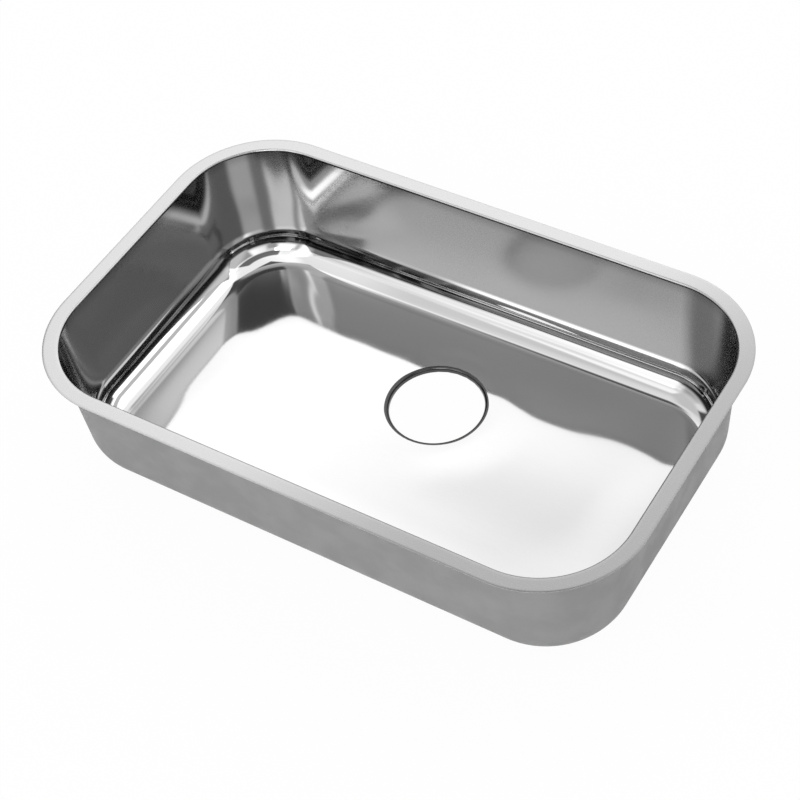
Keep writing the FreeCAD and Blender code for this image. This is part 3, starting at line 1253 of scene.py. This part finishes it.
@dataclass(frozen=True)
class Studio:
    """A pale floor under a wide, soft overhead light with brighter and darker patches.

    Each patch stands where a part of the polished basin mirrors it towards the camera. A
    row gives its azimuth, elevation, width, height, level and soft edge.
    """

    floor_gap: float = 0.0005
    floor_size: float = 30.0
    floor_tone: float = 0.8
    floor_glow: float = 0.96
    mirrored_glow: float = 1.2
    horizon_level: float = 0.05
    dome_level: float = 1.38
    dome_edge: Span = (19.0, 28.0)
    patches: tuple[Patch, ...] = (
        # The floor, which sends it straight to the camera.
        Patch(318.0, 44.0, 60.0, 17.0, 1.78, 14.0),
        # The dark turn of the back and left fillets.
        Patch(320.0, 79.0, 64.0, 34.0, 0.15, 14.0),
        # The near mouth roll, the foot of the back wall and the crease along it.
        Patch(322.0, 9.0, 60.0, 20.0, 1.20, 6.0),
        Patch(0.0, 23.0, 26.0, 22.0, 1.50, 6.0),
        Patch(342.0, 28.0, 8.0, 12.0, 2.50, 3.0),
        # The back wall as the floor mirrors it.
        Patch(246.0, 56.0, 56.0, 26.0, 1.00, 12.0),
        # The left wall: its front, its dark end at the corner and the line at its foot.
        Patch(40.5, 35.5, 41.0, 11.0, 0.48, 3.0),
        Patch(86.0, 33.0, 42.0, 30.0, 0.50, 6.0),
        Patch(61.0, 22.5, 12.0, 11.0, 1.60, 4.0),
        # The left wall as the floor mirrors it.
        Patch(35.0, 56.0, 34.0, 12.0, 1.60, 8.0),
        Patch(29.0, 54.0, 18.0, 10.0, 2.70, 6.0),
        # The back left corner as the floor mirrors it.
        Patch(114.0, 60.0, 92.0, 18.0, 0.22, 4.0),
        Patch(176.0, 60.0, 22.0, 14.0, 1.15, 10.0),
        # The back left corner and the walls on both sides of it.
        Patch(122.0, 39.0, 24.0, 18.0, 1.80, 6.0),
        Patch(144.0, 33.0, 14.0, 16.0, 0.80, 6.0),
        Patch(154.0, 20.0, 22.0, 10.0, 0.05, 3.0),
        Patch(168.0, 36.0, 28.0, 16.0, 3.00, 6.0),
        Patch(163.0, 46.5, 28.0, 11.0, 6.50, 3.0),
        # A bright line beside that corner and the back wall's right half, both in the floor.
        Patch(194.5, 56.0, 7.0, 9.0, 3.80, 4.0),
        Patch(208.0, 57.0, 20.0, 12.0, 1.75, 6.0),
        # The back wall from its middle to the right.
        Patch(206.0, 34.0, 14.0, 17.0, 2.50, 8.0),
        Patch(197.5, 35.0, 14.0, 24.0, 3.40, 8.0),
        # The back right corner, and the dark ends of the fillets beside both back corners.
        Patch(231.0, 38.0, 26.0, 15.0, 1.05, 6.0),
        Patch(280.0, 29.0, 44.0, 30.0, 0.12, 6.0),
    )

    def build(self) -> None:
        """Makes the floor and the overhead light."""
        self.build_floor()
        self.build_world()

    def build_floor(self) -> None:
        """A white floor that the camera and the metal see bright, with the sink's shadow.

        The glow is the share of the floor's look that is its own light, and the metal
        mirrors that light brighter than the camera sees it.
        """
        half, height = self.floor_size / 2, CAD_BOX[0].z - self.floor_gap
        mesh = bpy.data.meshes.new("studio_floor")
        mesh.from_pydata([(-half, -half, height), (half, -half, height),
                          (half, half, height), (-half, half, height)], [], [(0, 1, 2, 3)])
        floor = bpy.data.objects.new("studio_floor", mesh)
        bpy.context.scene.collection.objects.link(floor)

        material = bpy.data.materials.new("studio_floor")
        material.use_nodes = True
        graph = Graph(material.node_tree)
        paper = graph.add("ShaderNodeBsdfDiffuse", {"Color": grey(self.floor_tone)})
        glossy = graph.add("ShaderNodeLightPath").outputs["Is Glossy Ray"]
        glow = graph.add("ShaderNodeEmission", {"Color": grey(1.0)})
        graph.feed(glow.inputs["Strength"],
                   graph.math("MULTIPLY_ADD", glossy, self.mirrored_glow - 1.0, 1.0))
        share = graph.math("MULTIPLY", seen_directly(graph), self.floor_glow)
        mixed = graph.add("ShaderNodeMixShader",
                          {0: share, 1: paper.outputs[0], 2: glow.outputs[0]})
        graph.add("ShaderNodeOutputMaterial", {"Surface": mixed.outputs[0]})
        mesh.materials.append(material)

    def build_world(self) -> None:
        """A light that eases from a dark horizon to its full level, with the patches over it.

        The camera sees plain white.
        """
        world = bpy.data.worlds.new("studio")
        bpy.context.scene.world = world
        world.use_nodes = True
        graph = Graph(world.node_tree)
        direction = graph.add("ShaderNodeTexCoord").outputs["Generated"]
        right, back, up = graph.axes(direction)
        azimuth = graph.math("DEGREES", graph.math("ARCTAN2", right, back))
        elevation = graph.math("DEGREES", graph.math("ARCSINE", up))
        level = graph.ramp(elevation, self.dome_edge, self.horizon_level, self.dome_level)
        for patch in self.patches:
            level = patch.over(graph, azimuth, elevation, level)
        camera = graph.add("ShaderNodeLightPath").outputs["Is Camera Ray"]
        strength = graph.add("ShaderNodeMix", {0: camera, 2: level, 3: 1.0}, data_type="FLOAT")
        sky = graph.add("ShaderNodeBackground", {"Color": grey(1.0)})
        graph.feed(sky.inputs["Strength"], strength.outputs[0])
        graph.add("ShaderNodeOutputWorld", {"Surface": sky.outputs[0]})


def seen_directly(graph: Graph) -> Socket:
    """Tells the rays that show a surface from those that light it.

    Args:
        graph: the surface's graph.

    Returns:
        1 for rays of the camera, of glossy metal and of glass, and 0 for diffuse light.
    """
    path = graph.add("ShaderNodeLightPath").outputs
    seen = graph.math("MAXIMUM", path["Is Camera Ray"], path["Is Glossy Ray"])
    return graph.math("MAXIMUM", seen, path["Is Transmission Ray"])


@dataclass(frozen=True)
class Viewpoint:
    """Where the photograph was taken from: angles in degrees, lengths in metres."""

    azimuth: float = 38.21
    elevation: float = 48.92
    roll: float = -9.01
    distance: float = 1.62542
    target: Triple = (0.04375, -0.05437, 0.0)
    focal_pixels: float = 1916.46
    image_pixels: float = 800.0
    sensor: float = 36.0
    nearest: float = 0.05
    farthest: float = 50.0

    def build(self) -> bpy.types.Object:
        """Aims a camera along the view, then turns it about its own axis by the roll.

        Returns:
            The camera.
        """
        azimuth, elevation = math.radians(self.azimuth), math.radians(self.elevation)
        back = Vector((math.sin(azimuth) * math.cos(elevation),
                       -math.cos(azimuth) * math.cos(elevation), math.sin(elevation)))
        level = (-back).cross(Vector((0.0, 0.0, 1.0))).normalized()
        right = Matrix.Rotation(math.radians(self.roll), 3, back) @ level
        up = back.cross(right)
        place = Vector(self.target) + back * self.distance

        data = bpy.data.cameras.new("viewpoint")
        data.sensor_fit = "HORIZONTAL"
        data.sensor_width = self.sensor
        data.lens = self.focal_pixels / self.image_pixels * self.sensor
        data.clip_start, data.clip_end = self.nearest, self.farthest
        camera = bpy.data.objects.new("viewpoint", data)
        bpy.context.scene.collection.objects.link(camera)
        camera.matrix_world = Matrix.Translation(place) @ Matrix(
            (right, up, back)).transposed().to_4x4()
        bpy.context.scene.camera = camera
        return camera


def main() -> None:
    """Builds the sink piece by piece and reports each, then the studio and the camera."""
    logging.basicConfig(level=logging.INFO, format="%(name)s: %(message)s")
    basin = Basin()
    for piece in (Bowl(basin).build(), Undercoat(basin).build(), *SoundPads(basin).build()):
        log.info("%s: %d faces", piece.name, len(piece.data.polygons))
    Studio().build()
    Viewpoint().build()
    bpy.context.scene.view_settings.view_transform = "Standard"


if __name__ == "__main__":
    main()
